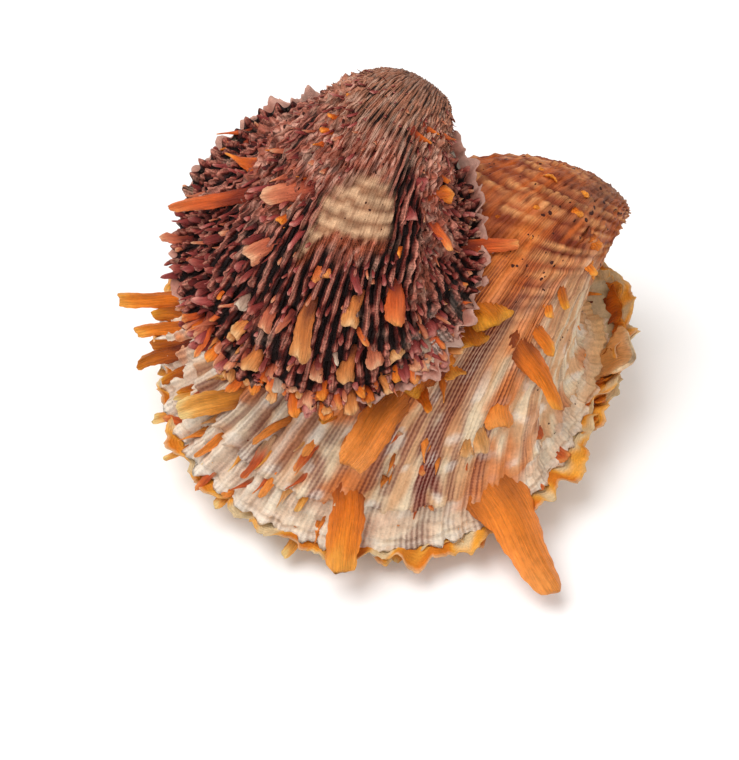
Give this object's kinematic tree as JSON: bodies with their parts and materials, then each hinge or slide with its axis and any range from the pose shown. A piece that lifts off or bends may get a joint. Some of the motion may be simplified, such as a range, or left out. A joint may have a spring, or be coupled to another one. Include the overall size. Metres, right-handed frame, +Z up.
{
  "type": "thorny oyster shell cluster",
  "caption": "Thorny oysters grown together: a large spined orange and cream shell cut flat from its rock, with a smaller purple-brown one cemented on its back.",
  "frame": {"origin": "middle of the box round the cluster, on the surface that its cut foot rests on", "axes": "+Z up, +X towards the large shell's beak, -Y towards the open edges"},
  "size_m": [0.1554, 0.1335, 0.1137],
  "materials": {
    "cream_shell": "matt natural shell, cream with yellow-orange frills",
    "orange_shell": "matt natural shell, orange-brown to cream with orange spines and purple-brown ribs",
    "pale_purple_shell": "matt natural shell, pinkish white and grey-purple in thin layers",
    "purple_brown_shell": "matt natural shell, dark purple-brown ribs with pinkish-orange scales and spines"
  },
  "bodies": {
    "root": {"large_lower_valve": "cream_shell", "large_upper_valve": "orange_shell", "small_lower_valve": "pale_purple_shell", "small_upper_valve": "purple_brown_shell"}
  },
  "joints": []
}
